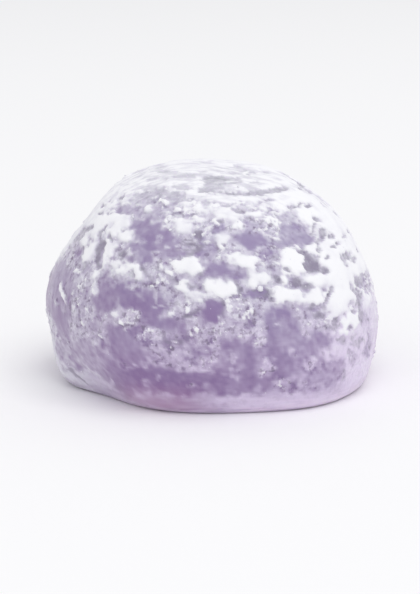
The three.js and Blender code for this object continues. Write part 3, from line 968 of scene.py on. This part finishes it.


# deep dough is partly painted shade; rosy and streaked dough carry painted light
DEEP_AND_SHADED_DOUGH = pigment(139, 111, 159)
PALE_DOUGH = pigment(153, 139, 177)
ROSY_LIT_DOUGH = pigment(242, 222, 242)
STREAKED_LIT_DOUGH = pigment(204, 184, 214)
BLUSH_DOUGH = pigment(190, 138, 172)
CROWN_DOUGH = pigment(156, 156, 167)
# pits: damp dough and painted shade between crumbs; gaps: painted shade of clumps
DAMP_AND_SHADE_DOUGH = pigment(136, 124, 148)
GAP_SHADE_DOUGH = pigment(146, 140, 158)
FILM_COLOUR = pigment(230, 228, 238)
LOW_FILM = pigment(232, 220, 243)
STARCH_COLOUR = pigment(250, 250, 253)
STARCH_SHADE = pigment(226, 224, 235)
print("deep dough in light:", [round(v, 3) for v in DEEP_AND_SHADED_DOUGH])

# %% The bare dough
# deeper to the left and low down as painted shade; by cloud as the dough's own tone
SHADE_AND_DEEPENING = (0.5, 14, 36, 1.1)  # in the middle, per metre across and up, by cloud
CLOUD_SIZE = 7 * MM
# rosy, and lightened as painted light against the shade near the table, most on the
# right
FOOT_BAND = (0.5 * MM, 3.5 * MM)  # heights over which the rosy band ends
FOOT_SHARES = (0.15, 0.75)  # its strength on the left, and what the right adds
FOOT_ACROSS = (-5 * MM, 9 * MM)
LINE_SIZE = 3 * MM
LINE_SQUEEZE = (1, 1, 9)  # drawn out level
LINE_EDGE = (0.38, 0.62)
BLUSH_BAND = (1 * MM, 6 * MM)
BLUSH_STARTS = (-16 * MM, -10 * MM)
BLUSH_ENDS = (-6 * MM, 2 * MM)
BLUSH_SHARE = 0.42


def bare_dough(finish, across, height):
    """Pale to deep by place and cloud, then rosy lines and a blush along the foot."""
    middle, by_across, by_height, by_cloud = SHADE_AND_DEEPENING
    cloud = finish.noise(CLOUD_SIZE)
    # deeper to the left and low down: painted shade; the cloud: the dough's own tone
    deep = middle - by_across * across - by_height * height + by_cloud * cloud
    dough = finish.blend(deep.limited(), PALE_DOUGH, DEEP_AND_SHADED_DOUGH)
    foot = FOOT_SHARES[0] + FOOT_SHARES[1] * across.rise(*FOOT_ACROSS)
    foot = (1 - height.rise(*FOOT_BAND)) * foot
    lines = finish.noise(LINE_SIZE, detail=3.0, seed=7.0, squeeze=LINE_SQUEEZE)
    # the rosy lines are lighter as painted light against the shade near the table
    rosy = finish.blend(lines.rise(*LINE_EDGE), STREAKED_LIT_DOUGH, ROSY_LIT_DOUGH)
    dough = finish.blend(foot, dough, rosy)
    blush = (1 - height.rise(*BLUSH_BAND)) * across.rise(*BLUSH_STARTS)
    blush = blush * (1 - across.rise(*BLUSH_ENDS)) * BLUSH_SHARE
    return finish.blend(blush, dough, BLUSH_DOUGH)


print("the rosy band ends at", FOOT_BAND[1] / MM, "mm")

# %% [markdown]
# ## Film, crumbs and packed starch
#
# The film lightens and greys the dough and takes its gloss away. Where starch and dough
# are half and half, grit breaks the line between them into crumbs, and pits show the
# dough darker and greyer: partly damp, partly painted shade between the crumbs. Where
# touches cut gaps into packed starch, the dough in them is greyed as painted shade of
# the clumps. Where clumps lie, a second shader takes over: dry starch, nearly white and
# quite matt. High on the crown, drawn-out noise lays fine brush strokes in it. It could
# be modelled grain by grain, but millions of grains are finer than any mesh, so noise
# in the finish stands for them on top of the real relief.

# %% Crumbs, and dry starch
GRIT_SIZES = (0.42 * MM, 0.18 * MM)
FINE_SHARE = 0.5
PIT_SIZE = 0.8 * MM
PIT_EDGE = (0.0, 0.14)


def crumbs(finish, clump, busy):
    """Grit; specks of it, and pits, by 4 clump (1 - clump), which is 1 at a half."""
    coarse = finish.swing(GRIT_SIZES[0], detail=3.0)
    fine = finish.swing(GRIT_SIZES[1])
    grit = coarse + FINE_SHARE * fine
    half = (clump * (1 - clump) * 4).limited() * busy
    hollow = 0.5 - finish.noise(PIT_SIZE, detail=2.5, seed=3.0)
    return grit, grit * half, hollow.rise(*PIT_EDGE) * half


def dry_starch(finish, colour, grain):
    """Matt, with hardly any gloss."""
    sockets = {"Base Color": colour, "Roughness": 0.95, "Specular IOR Level": 0.1}
    return finish.node("ShaderNodeBsdfPrincipled", {}, {**sockets, "Normal": grain})


def filmed_dough(finish, colour, film, grain):
    """Soft dough that lets light in, with less gloss where the film is heavier."""
    return finish.node(
        "ShaderNodeBsdfPrincipled",
        {},
        {
            "Base Color": colour,
            "Roughness": 0.46 + 0.4 * film,
            "Subsurface Weight": 0.25,
            "Subsurface Radius": (1.0, 0.7, 1.1),
            "Subsurface Scale": 0.8 * MM,
            "Specular IOR Level": 0.4,
            "Sheen Weight": 0.3,
            "Sheen Roughness": 0.5,
            "Normal": grain,
        },
    )


print("grit in mm:", [round(size / MM, 2) for size in GRIT_SIZES])

# %% The whole finish
QUIET_SHARE = 0.8  # how much of the crumbs the calm takes away
GRAIN_STRENGTH, GRAIN_HEIGHT = 0.5, 0.06 * MM
# pits darken dough partly as damp, partly as painted shade; gaps as painted shade
DAMP_AND_SHADE_SHARE, GAP_SHADE_SHARE, CROWN_SHARE = 0.9, 0.8, 0.85  # how far each recolours dough
CROWN_BAND = (28 * MM, 31.5 * MM)
LOW_BAND = (6 * MM, 19 * MM)  # heights over which the lilac film gives way to the grey
LOW_ACROSS = (-22 * MM, -10 * MM)
VEIL_START, VEIL_EASE = 1.2, 0.3  # film covers by film * (start - ease * film)
SPECK_COVER, PIT_LOSS = 0.85, 0.42
HAIR_SIZE = 0.7 * MM  # the fine brush strokes
HAIR_SQUEEZE = (0.24, 0.8, 1)
HAIR_BAND = (25 * MM, 30 * MM)  # heights over which they come in
SWELL_SIZE = 2.4 * MM
HEAP_SWELL, HEAP_HAIRS = 0.9, 1.4  # what each adds to the height that looks white
HEAP_EDGE = (0.45, 1.12)
PACKED_HAIRS, PACKED_PITS = 1.1, 0.12  # what the packed height gains, and loses
PACKED_EDGE = (0.6, 0.98)


def dusted_finish():
    """Dough, pits, gaps and crown; the film over them; and packed starch on top."""
    finish = Finish("dusted_dough")
    across, height = finish.place("X"), finish.place("Z")
    film, clump = finish.carried("film"), finish.carried("clump")
    busy = 1 - QUIET_SHARE * finish.carried("calm")
    grit, specks, pits = crumbs(finish, clump, busy)
    grain = finish.grain(grit, GRAIN_STRENGTH, GRAIN_HEIGHT)

    dough = bare_dough(finish, across, height)
    # pits: partly damp dough, partly painted shade between crumbs
    dough = finish.blend(pits * DAMP_AND_SHADE_SHARE, dough, DAMP_AND_SHADE_DOUGH)
    # gaps: painted shade of the clumps round them
    dough = finish.blend(finish.carried("gap_shade") * GAP_SHADE_SHARE, dough, GAP_SHADE_DOUGH)
    dough = finish.blend(height.rise(*CROWN_BAND) * CROWN_SHARE, dough, CROWN_DOUGH)

    low = (1 - height.rise(*LOW_BAND)) * across.rise(*LOW_ACROSS)
    veil = film * (VEIL_START - VEIL_EASE * film)
    veil = veil + specks * SPECK_COVER - pits * PIT_LOSS
    dust = finish.blend(low, FILM_COLOUR, LOW_FILM)
    colour = finish.blend(veil.limited(), dough, dust)
    sheet = filmed_dough(finish, colour, film, grain)

    hairs = finish.swing(HAIR_SIZE, detail=3.0, seed=9.0, squeeze=HAIR_SQUEEZE)
    hairs = hairs * height.rise(*HAIR_BAND)
    swell = finish.swing(SWELL_SIZE, detail=3.0, seed=5.0)
    heap = clump + specks + HEAP_SWELL * swell + HEAP_HAIRS * hairs
    shade = finish.blend(low, STARCH_SHADE, LOW_FILM)
    white = finish.blend(heap.rise(*HEAP_EDGE), shade, STARCH_COLOUR)
    starch = dry_starch(finish, white, grain)
    packed = clump + specks + PACKED_HAIRS * hairs - pits * PACKED_PITS
    sockets = {0: packed.rise(*PACKED_EDGE), 1: sheet, 2: starch}
    cover = finish.node("ShaderNodeMixShader", {}, sockets)
    return finish.shown_by(cover)


skin_finish = dusted_finish()
print("nodes in the finish of the skin:", len(skin_finish.node_tree.nodes))

# %% The skin goes in
def carry(piece, name, values):
    """Stores one number for each point, for the finish to read."""
    layer = piece.data.attributes.new(name, "FLOAT", "POINT")
    layer.data.foreach_set("value", values.astype(np.float32))


def set_up(piece):
    """The piece rides with the cake and stands for its CAD solid, which it hides."""
    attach(piece, "root")
    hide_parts("mochi")
    return piece


skin_faces = closed_faces(len(skin_falls), SKIN_TURNS)
dusted_skin = linked("dusted_skin", skin_points, *skin_faces, skin_finish)
for name, values in zip(("film", "clump", "gap_shade", "calm"), skin_starch):
    carry(dusted_skin, name, values)
set_up(dusted_skin)
print("skin faces:", len(dusted_skin.data.polygons))

# %% [markdown]
# ## Loose lumps and grains
#
# Dry starch also balls up. Small round lumps sit among the clumps, and single grains
# lie where the film is heavier, and few of either where it is calm. Particles could
# strew them, but they give a piece that is hard to measure and to hand on. So each is a
# squashed ball of a few faces, sunk a third into the skin. Arrays place them all at
# once, and each kind is one joined mesh.

# %% A small uneven ball, many times over
BALL_UNEVEN = (0.78, 1.22)  # least and most that a point is out, in radii
BALL_SHARES = ((0.8, 1.25), (0.8, 1.1), (0.5, 0.8))  # wide, deep and high, of its size
BALL_RAISED = 0.3  # of half its height, so that a third of it is sunk


def unit_ball(columns, rings):
    """A ball of radius 1, as rays at even turns and falls."""
    return ray_grid(columns, np.arange(1, rings + 1) * 180 / (rings + 1))


def scattered_balls(name, ray, sizes, columns, rings, material, draw):
    """Every ball is the unit ball times its size, turned to face out of the skin."""
    point = starched(ray, *film_and_clumps(ray)[:2])
    tangent = np.cross(ray, (0.0, 0.0, 1.0))
    tangent /= np.linalg.norm(tangent, axis=-1, keepdims=True)
    bitangent = np.cross(ray, tangent)
    spin = draw.uniform(0, 2 * math.pi, len(ray))[:, None]
    side = tangent * np.cos(spin) + bitangent * np.sin(spin)
    other = np.cross(ray, side)
    unit = unit_ball(columns, rings)
    ball = unit * draw.uniform(*BALL_UNEVEN, (len(ray), len(unit), 1))
    wide, deep, high = (
        (sizes * draw.uniform(*share, len(ray)))[:, None, None] / 2
        for share in BALL_SHARES
    )
    points = (
        point[:, None]
        + ball[..., :1] * wide * side[:, None]
        + ball[..., 1:2] * deep * other[:, None]
        + (ball[..., 2:] + BALL_RAISED) * high * ray[:, None]
    )
    start = (np.arange(len(ray)) * len(unit))[:, None, None]
    every = [
        (start + faces).reshape(-1, faces.shape[-1])
        for faces in closed_faces(rings, columns)
    ]
    return linked(name, points, *every, material)


print("points of a ball of 3 rings of 8:", len(unit_ball(8, 3)))

# %% Where they fall
LOOSE_HUSH = 0.9  # how much rarer they are where it is calm
LOOSE_GRIT = 0.3 * MM
LOOSE_STRENGTH, LOOSE_HEIGHT = 0.3, 0.04 * MM


def drawn_rays(count, falls, draw, chance):
    """Random rays between two falls, kept where the chance allows."""
    lowest, highest = np.cos(np.radians(falls[::-1]))
    up = draw.uniform(lowest, highest, count)
    ray = rays(draw.uniform(-180, 180, count), np.degrees(np.arccos(up)))
    film, clump, _, calm = film_and_clumps(ray)
    likely = chance(film, clump) * (1 - LOOSE_HUSH * calm)
    return ray[draw.uniform(0, 1, count) < likely]


def drawn_sizes(sizes, lean, count, draw):
    """Sizes between two, by a beta curve that leans to the small ones."""
    return sizes[0] + np.ptp(sizes) * draw.beta(*lean, count)


def starch_finish():
    """The dry starch of the clumps, on its own."""
    finish = Finish("loose_starch")
    crumb = finish.noise(LOOSE_GRIT)
    white = finish.blend(crumb, STARCH_SHADE, STARCH_COLOUR)
    grain = finish.grain(crumb, LOOSE_STRENGTH, LOOSE_HEIGHT)
    return finish.shown_by(dry_starch(finish, white, grain))


loose_starch = starch_finish()
print("nodes in the finish of loose starch:", len(loose_starch.node_tree.nodes))

# %% Lumps
DRAW_SEED = 12
LUMP_TRIES = 2600
LUMP_FALLS = (8, 106)
LUMP_CHANCE = 0.17
LUMP_CLUMPS = (0.5, 0.8)  # heights of clump over which lumps come in
LUMP_SIZES = (0.25 * MM, 0.8 * MM)
LUMP_LEAN = (1.2, 4.0)
LUMP_GRID = (8, 3)  # columns and rings of one ball
BEADS = ((18.5, 22.5), (70.5, 71.5), (0.85 * MM, 0.85 * MM))  # turns, falls and sizes


def lump_chance(film, clump):
    """Likeliest where the clumps are."""
    return LUMP_CHANCE * smooth(clump, *LUMP_CLUMPS)


draw = np.random.default_rng(DRAW_SEED)
lump_rays = drawn_rays(LUMP_TRIES, LUMP_FALLS, draw, lump_chance)
lump_sizes = drawn_sizes(LUMP_SIZES, LUMP_LEAN, len(lump_rays), draw)
lump_rays = np.concatenate([lump_rays, rays(*BEADS[:2])])
lump_sizes = np.concatenate([lump_sizes, BEADS[2]])
lumps = scattered_balls(
    "starch_lumps", lump_rays, lump_sizes, *LUMP_GRID, loose_starch, draw
)
set_up(lumps)
print("lumps:", len(lump_rays))

# %% Grains
GRAIN_TRIES = 12000
GRAIN_FALLS = (5, 108)
GRAIN_CHANCES = (0.01, 0.45)  # on bare dough, and what a full film adds
GRAIN_FILMS = (0.3, 0.7)
GRAIN_SIZES = (0.08 * MM, 0.22 * MM)
GRAIN_LEAN = (1.5, 3.0)
GRAIN_GRID = (6, 2)


def grain_chance(film, clump):
    """A few anywhere, and more where the film is heavier."""
    return GRAIN_CHANCES[0] + GRAIN_CHANCES[1] * smooth(film, *GRAIN_FILMS)


grain_rays = drawn_rays(GRAIN_TRIES, GRAIN_FALLS, draw, grain_chance)
grain_sizes = drawn_sizes(GRAIN_SIZES, GRAIN_LEAN, len(grain_rays), draw)
grains = scattered_balls(
    "starch_grains", grain_rays, grain_sizes, *GRAIN_GRID, loose_starch, draw
)
set_up(grains)
print("grains:", len(grain_rays))

# %% [markdown]
# ## The size
#
# The looks must not change the size.
